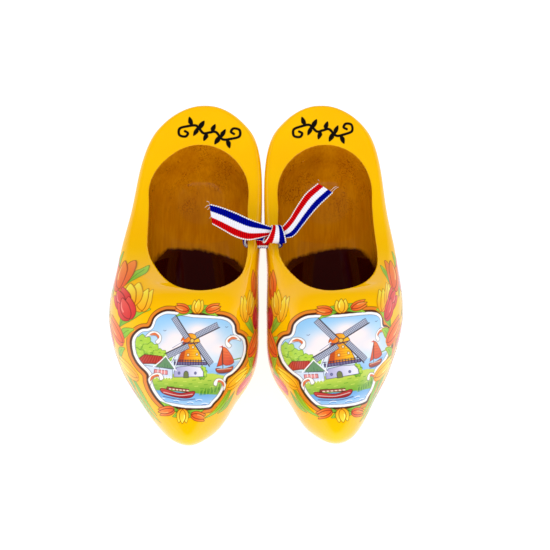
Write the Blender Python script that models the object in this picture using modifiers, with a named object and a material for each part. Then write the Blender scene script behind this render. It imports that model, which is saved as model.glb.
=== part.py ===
"""A pair of small carved wooden clogs, tied side by side with one woven ribbon.

Toes point to -Y, heels to +Y, and the soles stand on Z = 0. The origin is midway between the
clogs, so the wearer's left clog is at +X and the right one is its mirror image at -X. Each clog is
one block of wood: a hull lofted along Y, then cut the way a clog maker cuts it, with a sawn sole,
a hollowed saddle on top, a heel bore, a throat and a toe bore, and a hole for the ribbon.
"""

import math

import bmesh
import bpy
from mathutils import Matrix, Vector

MM = 0.001

# ---- Driving dimensions -------------------------------------------------------------------------
HALF_LENGTH = 80.0 * MM  # heel to toe is twice this
STATION_COUNT = 34  # cross sections along the hull
RING_COUNT = 40  # points round each cross section

# The hull's cross sections, from the toe to the heel, in mm. medial and lateral are the hull's two
# sides, measured outwards from the plane between the clogs; wide is the height where it is broadest.
#    y     medial  lateral  wide   crown   keel
STATIONS = (
    (-80.0, 31.0, 31.0, 34.4, 34.4, 34.4),
    (-78.6, 27.4, 34.8, 33.2, 38.4, 28.6),
    (-74.4, 23.0, 39.4, 30.8, 41.2, 21.0),
    (-66.6, 17.0, 44.4, 27.6, 44.0, 11.8),
    (-54.0, 11.0, 51.0, 25.4, 48.4, 2.6),
    (-37.5, 2.9, 59.2, 24.6, 54.6, -4.5),
    (-17.5, 1.6, 64.6, 26.0, 61.5, -6.5),
    (5.0, 1.7, 62.3, 28.5, 65.0, -6.5),
    (31.0, 0.5, 57.8, 32.0, 67.0, -6.5),
    (55.0, 0.9, 54.4, 36.0, 67.0, -6.5),
    (67.0, 3.8, 50.2, 39.0, 67.0, -3.0),
    (74.0, 10.0, 43.8, 41.5, 66.0, 6.0),
    (78.5, 18.0, 35.2, 45.0, 65.0, 20.0),
    (80.0, 26.4, 26.4, 49.0, 49.0, 49.0),
)
ROUND_AT_TOE = 2.0  # superellipse power of the sections at the toe tip
SQUARE_AT_HEEL = 0.9  # what it gains at the heel, where the walls stand straighter

# The sawn sole, in mm: the toe's spring, the flat under the ball, the arch and the heel block.
TOE_SPRING_FROM = -30.0
TOE_SPRING_RISE = 14.0
ARCH_FROM, ARCH_PEAK, ARCH_TO = -6.0, 26.0, 32.0
ARCH_HEIGHT = 6.0

# The saddle: where the top is cut, seen from the side, in mm (y, z).
SADDLE = (
    (-36.0, 66.0),
    (-28.0, 61.4),
    (-20.0, 56.8),
    (-11.0, 51.0),
    (3.0, 45.4),
    (19.0, 42.0),
    (35.0, 41.2),
    (49.0, 42.7),
    (62.0, 46.6),
    (80.0, 55.4),
    (96.0, 65.4),
)

# The hollow, in metres.
BORE_X = 28.4 * MM  # the heel bore's middle
BORE_Y = 40.6 * MM
BORE_RADIUS = 21.3 * MM
BORE_FLOOR = 14.0 * MM
BORE_ROUND_FROM = 32.0 * MM  # its wall is straight above this height
THROAT_X = 28.6 * MM
THROAT_Y = 11.8 * MM
THROAT_HALF_WIDTH = 21.7 * MM
THROAT_FRONT = 30.0 * MM  # from THROAT_Y to the front lip
THROAT_FLOOR = 16.5 * MM
THROAT_ROUND_FROM = 34.0 * MM
TOE_BORE_CENTRE = Vector((30.0, -12.0, 28.0)) * MM
TOE_BORE_HALF = Vector((21.5, 47.0, 19.5)) * MM

# The ribbon and the holes that it is threaded through.
RIBBON_Y = 14.5 * MM
HOLE_Z = 38.5 * MM
HOLE_RADIUS = 2.2 * MM
RIBBON_WIDTH = 10.0 * MM
RIBBON_THICKNESS = 0.8 * MM
STRAND_RADIUS = 1.3 * MM  # the ribbon bunched to a strand
LOOP_HALF_WIDTH = 9.3 * MM
LOOP_TOP_Z = 45.3 * MM
LOOP_CORNER = 3.0 * MM
KNOT_CENTRE = Vector((5.5, 12.0, 50.6)) * MM
KNOT_HALF = Vector((5.0, 4.2, 3.4)) * MM
LEFT_TAIL = ((-0.2, 12.6, 50.4), (-8.0, 14.6, 50.2), (-16.0, 17.8, 51.0), (-23.0, 21.0, 53.0))
RIGHT_TAIL = ((9.6, 16.2, 51.4), (15.5, 21.5, 52.0), (22.0, 27.0, 53.4), (28.0, 32.0, 55.6))
TAIL_SEGMENTS = 8

FAR = 0.2  # past the object on every side


# ---- Small tools --------------------------------------------------------------------------------
def smooth(knots, values, at):
    """A smooth curve through (knots, values), read at one place."""
    last = len(knots) - 1
    slopes = []
    for i in range(last + 1):
        low, high = max(i - 1, 0), min(i + 1, last)
        slopes.append((values[high] - values[low]) / (knots[high] - knots[low]))
    i = next((k for k in range(last) if at <= knots[k + 1]), last - 1)
    width = knots[i + 1] - knots[i]
    t = (at - knots[i]) / width
    return (
        (2 * t**3 - 3 * t**2 + 1) * values[i]
        + (t**3 - 2 * t**2 + t) * width * slopes[i]
        + (3 * t**2 - 2 * t**3) * values[i + 1]
        + (t**3 - t**2) * width * slopes[i + 1]
    )


def material(name, colour, roughness):
    made = bpy.data.materials.new(name)
    made.use_nodes = True
    shader = made.node_tree.nodes["Principled BSDF"]
    shader.inputs["Base Color"].default_value = (*colour, 1.0)
    shader.inputs["Roughness"].default_value = roughness
    shader.inputs["Metallic"].default_value = 0.0
    made.diffuse_color = (*colour, 1.0)
    return made


def new_object(name, mesh, collection):
    made = bpy.data.objects.new(name, mesh)
    collection.objects.link(made)
    return made


def mesh_from(bm, name):
    bmesh.ops.recalc_face_normals(bm, faces=bm.faces)
    mesh = bpy.data.meshes.new(name)
    bm.to_mesh(mesh)
    bm.free()
    return mesh


def cut(target, cutter):
    """Cuts the cutter's shape out of target."""
    cutter.hide_render = True
    cutter.display_type = "WIRE"
    modifier = target.modifiers.new(cutter.name, "BOOLEAN")
    modifier.operation = "DIFFERENCE"
    modifier.solver = "EXACT"
    modifier.object = cutter


def skin(bm, rings):
    """Faces between rings that have the same number of points."""
    for ring, following in zip(rings, rings[1:]):
        for k in range(len(ring)):
            bm.faces.new((ring[k], ring[k - 1], following[k - 1], following[k]))


def prism_across(name, outline, collection):
    """A solid with the outline (y, z) and flat ends, as wide as the object and more along X."""
    bm = bmesh.new()
    near = [bm.verts.new((-FAR, y, z)) for y, z in outline]
    face = bm.faces.new(near)
    moved = bmesh.ops.extrude_face_region(bm, geom=[face])["geom"]
    tops = [v for v in moved if isinstance(v, bmesh.types.BMVert)]
    bmesh.ops.translate(bm, verts=tops, vec=(2 * FAR, 0, 0))
    return new_object(name, mesh_from(bm, name), collection)


# ---- The clog -----------------------------------------------------------------------------------
def section(u):
    """One cross section of the left clog's hull; u runs from 0 at the toe to 1 at the heel."""
    places = [math.acos(-row[0] * MM / HALF_LENGTH) / math.pi for row in STATIONS]
    medial, lateral, wide, crown, keel = (
        smooth(places, [row[column] * MM for row in STATIONS], u) for column in range(1, 6)
    )
    middle, half = (medial + lateral) / 2, (lateral - medial) / 2
    y = -HALF_LENGTH * math.cos(math.pi * u)
    points = []
    for i in range(RING_COUNT):
        angle = 2 * math.pi * i / RING_COUNT
        power = ROUND_AT_TOE + SQUARE_AT_HEEL * (u**2 if math.sin(angle) > 0 else u)
        across = math.copysign(abs(math.cos(angle)) ** (2 / power), math.cos(angle))
        upward = math.copysign(abs(math.sin(angle)) ** (2 / power), math.sin(angle))
        height = (crown - wide) if upward > 0 else (wide - keel)
        points.append((middle + half * across, y, wide + height * upward))
    return points


def hull(name, collection):
    """The clog's outside before it is cut: a loft through the cross sections."""
    bm = bmesh.new()
    rings = []
    for i in range(1, STATION_COUNT):
        rings.append([bm.verts.new(point) for point in section(i / STATION_COUNT)])
    skin(bm, rings)
    for ring, end in ((rings[0], 0.0), (rings[-1], 1.0)):
        tip = bm.verts.new(section(end)[0])
        for k in range(RING_COUNT):
            bm.faces.new((ring[k], ring[k - 1], tip))
    return new_object(name, mesh_from(bm, name), collection)


def sole_outline():
    """What the saw takes off below the sole, as (y, z)."""
    spring = []
    for i in range(9):
        y = TOE_SPRING_FROM - i * 8.0
        rise = TOE_SPRING_RISE * ((TOE_SPRING_FROM - y) / 49.0) ** 2
        spring.append((y * MM, rise * MM))
    arch = [(ARCH_FROM * MM, 0.0)]
    for i in range(1, 9):
        turn = math.pi * i / 16
        rise = ARCH_HEIGHT * (1 - math.cos(2 * turn)) / 2
        arch.append(((ARCH_FROM + (ARCH_PEAK - ARCH_FROM) * i / 8) * MM, rise * MM))
    for i in range(1, 5):
        turn = math.pi / 2 * i / 4
        y = ARCH_PEAK + (ARCH_TO - ARCH_PEAK) * math.sin(turn)
        arch.append((y * MM, ARCH_HEIGHT * math.cos(turn) * MM))
    low = -0.03
    return [*reversed(spring), *arch, (FAR, 0.0), (FAR, low), (spring[-1][0], low)]


def saddle_outline():
    """What is cut away above the saddle, as (y, z)."""
    knots = [row[0] for row in SADDLE]
    heights = [row[1] for row in SADDLE]
    steps = 30
    line = []
    for i in range(steps + 1):
        y = knots[0] + (knots[-1] - knots[0]) * i / steps
        line.append((y * MM, smooth(knots, heights, y) * MM))
    return [*line, (line[-1][0], FAR), (line[0][0], FAR)]


def bore_cutter(collection):
    """The heel bore: a round-bottomed plug, turned about its upright axis."""
    steps = 8
    profile = [(BORE_RADIUS, FAR / 2)]
    for i in range(steps):
        turn = math.pi / 2 * i / steps
        radius = BORE_RADIUS * math.cos(turn)
        profile.append((radius, BORE_ROUND_FROM - (BORE_ROUND_FROM - BORE_FLOOR) * math.sin(turn)))
    bm = bmesh.new()
    rings = []
    turns = 32
    for radius, z in profile:
        ring = []
        for k in range(turns):
            angle = 2 * math.pi * k / turns
            x = BORE_X + radius * math.cos(angle)
            ring.append(bm.verts.new((x, BORE_Y + radius * math.sin(angle), z)))
        rings.append(ring)
    skin(bm, rings)
    bottom = bm.verts.new((BORE_X, BORE_Y, BORE_FLOOR))
    for k in range(turns):
        bm.faces.new((rings[-1][k], rings[-1][k - 1], bottom))
    bm.faces.new(rings[0])
    return new_object("heel_bore_cutter", mesh_from(bm, "heel_bore_cutter"), collection)


def throat_outline():
    """The opening seen from above: round at the heel end, half an ellipse at the toe end."""
    outline = []
    for i in range(15):
        angle = math.pi * i / 14
        y = BORE_Y + BORE_RADIUS * math.sin(angle)
        outline.append((BORE_X + BORE_RADIUS * math.cos(angle), y))
    for i in range(19):
        angle = math.pi + math.pi * i / 18
        y = THROAT_Y + THROAT_FRONT * math.sin(angle)
        outline.append((THROAT_X + THROAT_HALF_WIDTH * math.cos(angle), y))
    return outline


def throat_cutter(collection):
    """The throat: the opening's outline, straight down and then rounded in like a tub."""
    outline = throat_outline()
    middle_x = (BORE_X + THROAT_X) / 2
    middle_y = (BORE_Y + THROAT_Y) / 2
    levels = [(FAR / 2, 1.0)]
    for i in range(6):
        turn = math.pi / 2 * i / 6
        z = THROAT_ROUND_FROM - (THROAT_ROUND_FROM - THROAT_FLOOR) * math.sin(turn)
        levels.append((z, math.cos(turn) ** 0.8))
    bm = bmesh.new()
    rings = []
    for z, share in levels:
        ring = []
        for x, y in outline:
            place = (middle_x + share * (x - middle_x), middle_y + share * (y - middle_y), z)
            ring.append(bm.verts.new(place))
        rings.append(ring)
    skin(bm, rings)
    bm.faces.new(rings[0])
    bm.faces.new(rings[-1])
    return new_object("throat_cutter", mesh_from(bm, "throat_cutter"), collection)


def toe_bore_cutter(collection):
    """The toe bore: an ellipsoid that lies along the clog."""
    bm = bmesh.new()
    bmesh.ops.create_uvsphere(bm, u_segments=28, v_segments=18, radius=1.0)
    bmesh.ops.rotate(bm, verts=bm.verts, matrix=Matrix.Rotation(math.pi / 2, 3, "X"))
    bmesh.ops.scale(bm, verts=bm.verts, vec=TOE_BORE_HALF)
    bmesh.ops.translate(bm, verts=bm.verts, vec=TOE_BORE_CENTRE)
    return new_object("toe_bore_cutter", mesh_from(bm, "toe_bore_cutter"), collection)


def ribbon_hole_cutter(collection):
    """The hole for the ribbon, through the wall between the hollow and the other clog."""
    bm = bmesh.new()
    bmesh.ops.create_cone(
        bm, cap_ends=True, segments=16, radius1=HOLE_RADIUS, radius2=HOLE_RADIUS, depth=30 * MM
    )
    bmesh.ops.rotate(bm, verts=bm.verts, matrix=Matrix.Rotation(math.pi / 2, 3, "Y"))
    bmesh.ops.translate(bm, verts=bm.verts, vec=(0, RIBBON_Y, HOLE_Z))
    return new_object("ribbon_hole_cutter", mesh_from(bm, "ribbon_hole_cutter"), collection)


def carved_clog(name, parts, cutters, paint):
    """The clog on the +X side: its hull, cut by each blade in turn."""
    made = hull(name, parts)
    made.data.materials.append(paint)
    cut(made, prism_across("sole_cutter", sole_outline(), cutters))
    cut(made, prism_across("saddle_cutter", saddle_outline(), cutters))
    for blade in (bore_cutter, throat_cutter, toe_bore_cutter, ribbon_hole_cutter):
        cut(made, blade(cutters))
    return made


def mirrored_clog(name, made, parts, paint):
    """The other clog: the finished one's mesh, mirrored to the -X side."""
    graph = bpy.context.evaluated_depsgraph_get()
    mesh = bpy.data.meshes.new_from_object(made.evaluated_get(graph))
    mesh.transform(Matrix.Scale(-1, 4, (1, 0, 0)))
    mesh.flip_normals()
    mesh.materials.clear()
    mesh.materials.append(paint)
    return new_object(name, mesh, parts)


# ---- The ribbon ---------------------------------------------------------------------------------
def ribbon_loop(parts, cloth):
    """The ribbon bunched to a strand: through both holes, and over both rims below the knot."""
    corners = (
        (LOOP_HALF_WIDTH, HOLE_Z, -math.pi / 2),
        (LOOP_HALF_WIDTH, LOOP_TOP_Z, 0.0),
        (-LOOP_HALF_WIDTH, LOOP_TOP_Z, math.pi / 2),
        (-LOOP_HALF_WIDTH, HOLE_Z, math.pi),
    )
    curve = bpy.data.curves.new("ribbon_loop", "CURVE")
    curve.dimensions = "3D"
    curve.bevel_depth = STRAND_RADIUS
    curve.bevel_resolution = 2
    points = []
    for x, z, start in corners:
        middle_x = x - math.copysign(LOOP_CORNER, x)
        middle_z = z + (LOOP_CORNER if z == HOLE_Z else -LOOP_CORNER)
        for i in range(4):
            angle = start + math.pi / 2 * i / 3
            along = LOOP_CORNER * math.cos(angle)
            points.append((middle_x + along, RIBBON_Y, middle_z + LOOP_CORNER * math.sin(angle)))
    spline = curve.splines.new("POLY")
    spline.points.add(len(points) - 1)
    for point, place in zip(spline.points, points):
        point.co = (*place, 1.0)
    spline.use_cyclic_u = True
    made = new_object("ribbon_loop", curve, parts)
    curve.materials.append(cloth)
    return made


def ribbon_knot(parts, cloth):
    bm = bmesh.new()
    bmesh.ops.create_uvsphere(bm, u_segments=16, v_segments=10, radius=1.0)
    bmesh.ops.scale(bm, verts=bm.verts, vec=KNOT_HALF)
    bmesh.ops.translate(bm, verts=bm.verts, vec=KNOT_CENTRE)
    made = new_object("ribbon_knot", mesh_from(bm, "ribbon_knot"), parts)
    made.data.materials.append(cloth)
    return made


def ribbon_tail(name, route, parts, cloth):
    """A free end: a strip along the route, flat across it, thickened by Solidify."""
    knots = list(range(len(route)))
    columns = [[place[axis] * MM for place in route] for axis in range(3)]
    middle = []
    for i in range(TAIL_SEGMENTS + 1):
        at = (len(route) - 1) * i / TAIL_SEGMENTS
        middle.append(Vector([smooth(knots, column, at) for column in columns]))
    heading = middle[-1] - middle[0]
    across = Vector((-heading.y, heading.x, 0)).normalized() * RIBBON_WIDTH / 2
    bm = bmesh.new()
    pairs = [(bm.verts.new(place - across), bm.verts.new(place + across)) for place in middle]
    for (a, b), (c, d) in zip(pairs, pairs[1:]):
        bm.faces.new((a, c, d, b))
    made = new_object(name, mesh_from(bm, name), parts)
    made.data.materials.append(cloth)
    solidify = made.modifiers.new("thickness", "SOLIDIFY")
    solidify.thickness = RIBBON_THICKNESS
    solidify.offset = 0.0
    return made


# ---- The pair -----------------------------------------------------------------------------------
def main():
    for old in list(bpy.data.objects):
        bpy.data.objects.remove(old, do_unlink=True)
    parts = bpy.data.collections.new("wooden_clogs")
    cutters = bpy.data.collections.new("cutters")
    bpy.context.scene.collection.children.link(parts)
    bpy.context.scene.collection.children.link(cutters)

    paint = (0.96, 0.52, 0.01)
    left = carved_clog("clog_left", parts, cutters, material("left_paint", paint, 0.25))
    mirrored_clog("clog_right", left, parts, material("right_paint", paint, 0.25))

    ribbon_loop(parts, material("loop_ribbon", (0.75, 0.76, 0.85), 0.8))
    ribbon_knot(parts, material("knot_ribbon", (0.75, 0.1, 0.12), 0.8))
    blue, red = (0.05, 0.1, 0.5), (0.7, 0.05, 0.08)
    ribbon_tail("ribbon_tail_left", LEFT_TAIL, parts, material("left_tail_ribbon", blue, 0.8))
    ribbon_tail("ribbon_tail_right", RIGHT_TAIL, parts, material("right_tail_ribbon", red, 0.8))

    for made in parts.objects:
        if made.type == "MESH":
            made.data.shade_smooth()
            made.data.set_sharp_from_angle(angle=math.radians(35))


main()
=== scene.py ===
"""The looks of a pair of painted wooden clogs, tied together with a striped ribbon.

Lengths are in millimetres until a mesh is made, in the frame of the CAD part: toes at -Y, soles on
Z = 0, the left clog at +X. The left clog is worked out, and the right one is its mirror image, but
for small differences that come from finishing by hand.
"""

import math

import bpy
import numpy as np
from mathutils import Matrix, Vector


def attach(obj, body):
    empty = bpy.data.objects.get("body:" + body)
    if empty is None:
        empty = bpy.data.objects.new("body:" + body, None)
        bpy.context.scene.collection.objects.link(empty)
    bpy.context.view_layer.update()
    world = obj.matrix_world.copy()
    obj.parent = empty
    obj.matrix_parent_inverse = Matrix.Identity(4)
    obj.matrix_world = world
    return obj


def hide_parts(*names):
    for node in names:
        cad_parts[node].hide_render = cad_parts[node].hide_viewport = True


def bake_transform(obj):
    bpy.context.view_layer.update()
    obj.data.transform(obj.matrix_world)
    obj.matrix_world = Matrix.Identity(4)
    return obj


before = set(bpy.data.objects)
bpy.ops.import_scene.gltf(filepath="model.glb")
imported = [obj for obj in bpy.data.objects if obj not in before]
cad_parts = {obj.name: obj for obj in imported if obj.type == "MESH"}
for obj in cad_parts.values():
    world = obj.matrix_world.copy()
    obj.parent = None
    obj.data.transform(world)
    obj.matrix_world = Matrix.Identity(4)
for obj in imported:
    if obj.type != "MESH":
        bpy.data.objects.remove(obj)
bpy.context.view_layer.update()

MM = 0.001
LEFT_BODY, RIGHT_BODY = "left_clog", "right_clog"

# ---- The clog's shape ---------------------------------------------------------------------------
# The hull's cross sections: y, its medial and lateral sides, the height where it is broadest, and
# the heights of its crown and keel.
STATIONS = (
    (-80.0, 31.0, 31.0, 34.4, 34.4, 34.4),
    (-78.6, 27.4, 34.8, 33.2, 38.4, 28.6),
    (-74.4, 23.0, 39.4, 30.8, 41.2, 21.0),
    (-66.6, 17.0, 44.4, 27.6, 44.0, 11.8),
    (-54.0, 11.0, 51.0, 25.4, 48.4, 2.6),
    (-37.5, 2.9, 59.2, 24.6, 54.6, -4.5),
    (-17.5, 1.6, 64.6, 26.0, 61.5, -6.5),
    (5.0, 1.7, 62.3, 28.5, 65.0, -6.5),
    (31.0, 0.5, 57.8, 32.0, 67.0, -6.5),
    (55.0, 0.9, 54.4, 36.0, 67.0, -6.5),
    (67.0, 3.8, 50.2, 39.0, 67.0, -3.0),
    (74.0, 10.0, 43.8, 41.5, 66.0, 6.0),
    (78.5, 18.0, 35.2, 45.0, 65.0, 20.0),
    (80.0, 26.4, 26.4, 49.0, 49.0, 49.0),
)
HALF_LENGTH = STATIONS[-1][0]
SQUARE_AT_HEEL = 0.9  # how much squarer the heel's sections are than the toe's
SADDLE = (
    (-36.0, 66.0), (-28.0, 61.4), (-20.0, 56.8), (-11.0, 51.0), (3.0, 45.4), (19.0, 42.0),
    (35.0, 41.2), (49.0, 42.7), (62.0, 46.6), (80.0, 55.4), (96.0, 65.4),
)
TOE_SPRING_FROM, TOE_SPRING_LENGTH, TOE_SPRING_RISE = -30.0, 49.0, 14.0
ARCH_FROM, ARCH_PEAK, ARCH_TO, ARCH_HEIGHT = -6.0, 26.0, 32.0, 6.0
BORE = (28.4, 40.6, 21.3)  # the heel bore: x, y and radius
BORE_STRAIGHT_FROM, BORE_FLOOR = 32.0, 14.0
THROAT = (28.6, 11.8, 21.7, 30.0)  # x, y, half width, and reach to the front lip
THROAT_STRAIGHT_FROM, THROAT_FLOOR = 34.0, 16.5
TOE_BORE = ((30.0, -12.0, 28.0), (21.5, 47.0, 19.5))  # centre and half size
HOLE = (14.5, 38.5, 2.2, 13.0)  # the ribbon hole: y, z, radius and how far in it reaches
BORE_BLEND, TOE_BORE_BLEND = 1.5, 0.8  # how far the hollows run into each other
# How round the edges are: the rim, what the rim gains towards the toe, and the rest.
RIM_EDGE, RIM_ROUNDER, SOLE_EDGE, LIP_EDGE, HOLE_EDGE = 3.2, 4.5, 1.0, 0.7, 0.5
VOXEL = 0.9


def hermite(knots, values, at):
    """The part's smooth curve through (knots, values), read at many places."""
    knots, values = np.array(knots, float), np.array(values, float)
    ends = np.arange(len(knots))
    low, high = np.maximum(ends - 1, 0), np.minimum(ends + 1, len(knots) - 1)
    slopes = (values[high] - values[low]) / (knots[high] - knots[low])
    i = np.clip(np.searchsorted(knots, at) - 1, 0, len(knots) - 2)
    width = knots[i + 1] - knots[i]
    t = (at - knots[i]) / width
    return (
        (2 * t**3 - 3 * t**2 + 1) * values[i]
        + (t**3 - 2 * t**2 + t) * width * slopes[i]
        + (3 * t**2 - 2 * t**3) * values[i + 1]
        + (t**3 - t**2) * width * slopes[i + 1]
    )


STATION_U = [math.acos(-row[0] / HALF_LENGTH) / math.pi for row in STATIONS]
FINE_U = np.linspace(0, 1, 2001)
FINE = [hermite(STATION_U, [row[k] for row in STATIONS], FINE_U) for k in range(1, 6)]
FINE_Y = np.linspace(-90, 96, 3001)
FINE_SADDLE = hermite(*zip(*SADDLE), np.maximum(FINE_Y, SADDLE[0][0]))
FINE_SADDLE += np.maximum(SADDLE[0][0] - FINE_Y, 0) * 0.7


def sole_height(y):
    """The height of the sawn sole: the toe's spring, the ball, the arch and the heel block."""
    spring = np.maximum(TOE_SPRING_FROM - y, 0) / TOE_SPRING_LENGTH
    rising = np.clip((y - ARCH_FROM) / (ARCH_PEAK - ARCH_FROM), 0, 1)
    falling = np.clip((y - ARCH_PEAK) / (ARCH_TO - ARCH_PEAK), 0, 1)
    arch = ARCH_HEIGHT * (1 - np.cos(math.pi * rising)) / 2 * np.sqrt(1 - falling**2)
    return TOE_SPRING_RISE * spring**2 + arch


FINE_SOLE = sole_height(FINE_Y)


def section(y):
    """How far along the hull y is, from 0 to 1, and the cross section there."""
    u = np.arccos(np.clip(-y / HALF_LENGTH, -1, 1)) / math.pi
    return (u, *(np.interp(u, FINE_U, column) for column in FINE))


def hull_level(p):
    x, y, z = p.T
    u, medial, lateral, wide, crown, keel = section(y)
    half = np.maximum((lateral - medial) / 2, 1e-3)
    above = z > wide
    tall = np.maximum(np.where(above, crown - wide, wide - keel), 1e-3)
    power = 2 + SQUARE_AT_HEEL * np.where(above, u * u, u)
    across = np.abs((x - (medial + lateral) / 2) / half)
    upward = np.abs((z - wide) / tall)
    return ((across**power + upward**power) ** (2 / power) - 1) * half * tall


def bore_level(p):
    x, y, z = p.T
    deep = np.maximum(BORE_STRAIGHT_FROM - z, 0) / (BORE_STRAIGHT_FROM - BORE_FLOOR)
    return ((x - BORE[0]) ** 2 + (y - BORE[1]) ** 2) / BORE[2] ** 2 + deep**2 - 1


def throat_level(p):
    """The opening's outline: half an ellipse in front, straight sides, and the heel bore's round."""
    x, y, z = p.T
    deep = np.maximum(THROAT_STRAIGHT_FROM - z, 0) / (THROAT_STRAIGHT_FROM - THROAT_FLOOR)
    along = np.clip((y - THROAT[1]) / (BORE[1] - THROAT[1]), 0, 1)
    middle = THROAT[0] + (BORE[0] - THROAT[0]) * along
    half = THROAT[2] + (BORE[2] - THROAT[2]) * along
    front = np.maximum(THROAT[1] - y, 0) / THROAT[3]
    back = np.maximum(y - BORE[1], 0) / BORE[2]
    return ((x - middle) / half) ** 2 + front**2 + back**2 + deep**2.4 - 1


def toe_bore_level(p):
    centre, half = np.array(TOE_BORE)
    return (((p - centre) / half) ** 2).sum(axis=1) - 1


def hole_level(p):
    past_wall = np.maximum(p[:, 0] - HOLE[3], 0)
    return ((p[:, 1] - HOLE[0]) ** 2 + (p[:, 2] - HOLE[1]) ** 2 + past_wall**2) / HOLE[2] ** 2 - 1


def smooth(share):
    return share * share * (3 - 2 * share)


def unit(vectors):
    return vectors / np.maximum(np.linalg.norm(vectors, axis=-1), 1e-9)[..., None]


def slope(function, p, reach=0.05):
    """The gradient of a function of many points."""
    parts = []
    for axis in range(3):
        step = np.zeros(3)
        step[axis] = reach
        parts.append((function(p + step) - function(p - step)) / (2 * reach))
    return np.stack(parts, axis=1)


def distance(level, p):
    """About how far each point is from where level is zero; negative inside."""
    return level(p) / np.maximum(np.linalg.norm(slope(level, p), axis=1), 1e-6)


def round_both(a, b, radius):
    """The solid that is in both a and b, with a rounded edge."""
    corner = np.hypot(np.maximum(radius + a, 0), np.maximum(radius + b, 0))
    return np.minimum(-radius, np.maximum(a, b)) + corner


def blend_either(a, b, reach):
    """The hollow that is in a or b, with the edge between them softened."""
    mix = np.maximum(reach - np.abs(a - b), 0) / reach
    return np.minimum(a, b) - mix * mix * reach / 4


def distance_above(p, heights):
    """How far each point is above heights, given along FINE_Y; negative below them."""
    y, z = p[:, 1], p[:, 2]
    steep = np.gradient(heights, FINE_Y)
    return (z - np.interp(y, FINE_Y, heights)) / np.hypot(1, np.interp(y, FINE_Y, steep))


def hollow_distance(p):
    hollow = blend_either(distance(bore_level, p), distance(throat_level, p), BORE_BLEND)
    return blend_either(hollow, distance(toe_bore_level, p), TOE_BORE_BLEND)


def outside_distance(p):
    """How far each point is from a clog with no hollows. Its rim is rounder towards the toe."""
    rounder = RIM_ROUNDER * smooth(np.clip((10 - p[:, 1]) / 30, 0, 1))
    solid = round_both(distance(hull_level, p), distance_above(p, FINE_SADDLE), RIM_EDGE + rounder)
    return round_both(solid, -distance_above(p, FINE_SOLE), SOLE_EDGE)


def wood_distance(p):
    """How far each point is from the wood's surface; negative inside the wood."""
    carved = round_both(outside_distance(p), -hollow_distance(p), LIP_EDGE)
    return round_both(carved, -distance(hole_level, p), HOLE_EDGE)


# ---- Meshes from the shape ----------------------------------------------------------------------
def surface_net(field, low, step):
    """Points and quads where a sampled field crosses zero."""
    inside = field < 0
    cells = tuple(n - 1 for n in field.shape)
    total, count = np.zeros((*cells, 3)), np.zeros(cells)
    corners = [(i, j, k) for i in (0, 1) for j in (0, 1) for k in (0, 1)]

    def at(corner):
        return tuple(slice(c, c + n) for c, n in zip(corner, cells))

    for start in corners:
        for axis in range(3):
            if start[axis]:
                continue
            end = tuple(c + (axis == k) for k, c in enumerate(start))
            a, b = field[at(start)], field[at(end)]
            crossed = inside[at(start)] != inside[at(end)]
            share = np.where(crossed, a / np.where(crossed, a - b, 1), 0)
            for k in range(3):
                total[..., k] += crossed * (start[k] + (share if k == axis else 0))
            count += crossed
    used = count > 0
    number = np.full(cells, -1)
    number[used] = np.arange(used.sum())
    points = total[used] / count[used][:, None] + np.argwhere(used)
    quads = []
    for axis in range(3):
        u, v = (axis + 1) % 3, (axis + 2) % 3
        first = [slice(1, n - 1) for n in field.shape]
        second = list(first)
        first[axis], second[axis] = slice(0, -1), slice(1, None)
        a, b = inside[tuple(first)], inside[tuple(second)]
        for found, turn in ((a & ~b, 1), (~a & b, -1)):
            edge = np.argwhere(found)
            edge[:, [u, v]] += 1
            ring = []
            for du, dv in ((1, 1), (0, 1), (0, 0), (1, 0))[::turn]:
                cell = edge.copy()
                cell[:, u] -= du
                cell[:, v] -= dv
                ring.append(number[tuple(cell.T)])
            quads.append(np.stack(ring, axis=1))
    return low + points * step, np.concatenate(quads)


def onto(function, p, rounds=4):
    """Moves points to where the function is zero."""
    for _ in range(rounds):
        way = slope(function, p)
        far = function(p) / np.maximum((way**2).sum(axis=1), 1e-9)
        p = p - np.clip(far, -1, 1)[:, None] * way
    return p


def eased(function, p, quads, rounds=3):
    """Evens out the points along the surface."""
    for _ in range(rounds):
        total, count = np.zeros_like(p), np.zeros(len(p))
        for k in range(4):
            np.add.at(total, quads[:, k], p[quads[:, k - 1]] + p[quads[:, (k + 1) % 4]])
            np.add.at(count, quads[:, k], 2)
        p = onto(function, 0.4 * p + 0.6 * total / count[:, None], 2)
    return p


def clog_points():
    """The left clog's surface as even points and quads."""
    low, high = np.array((-2.0, -84.0, -3.0)), np.array((68.0, 84.0, 64.0))
    size = np.ceil((high - low) / VOXEL).astype(int)
    axes = [low[k] + VOXEL * np.arange(size[k]) for k in range(3)]
    places = np.stack(np.meshgrid(*axes, indexing="ij"), axis=-1).reshape(-1, 3)
    field = wood_distance(places).reshape(size)
    points, quads = surface_net(field, low, VOXEL)
    return eased(wood_distance, onto(wood_distance, points), quads), quads


def new_object(name, data):
    made = bpy.data.objects.new(name, data)
    bpy.context.scene.collection.objects.link(made)
    return made


def new_mesh(name, points, faces):
    mesh = bpy.data.meshes.new(name)
    mesh.from_pydata((points * MM).tolist(), [], faces.tolist())
    mesh.shade_smooth()
    return new_object(name, mesh)


def add_numbers(made, name, values):
    layer = made.data.attributes.new(name, "FLOAT", "POINT")
    layer.data.foreach_set("value", np.asarray(values, np.float32))


def linear_light(shown):
    """Colours from 0 to 1 as a screen shows them, turned into amounts of light."""
    return np.where(shown < 0.04045, shown / 12.92, ((shown + 0.055) / 1.055) ** 2.4)


def add_ink(made, shown):
    """Gives each point its colour, from 0 to 1 as a screen shows it."""
    layer = made.data.attributes.new("ink", "FLOAT_COLOR", "POINT")
    colour = np.column_stack((linear_light(shown), np.ones(len(shown))))
    layer.data.foreach_set("color", colour.ravel())


def mirror_x(points):
    return points * np.array((-1, 1, 1))


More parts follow.
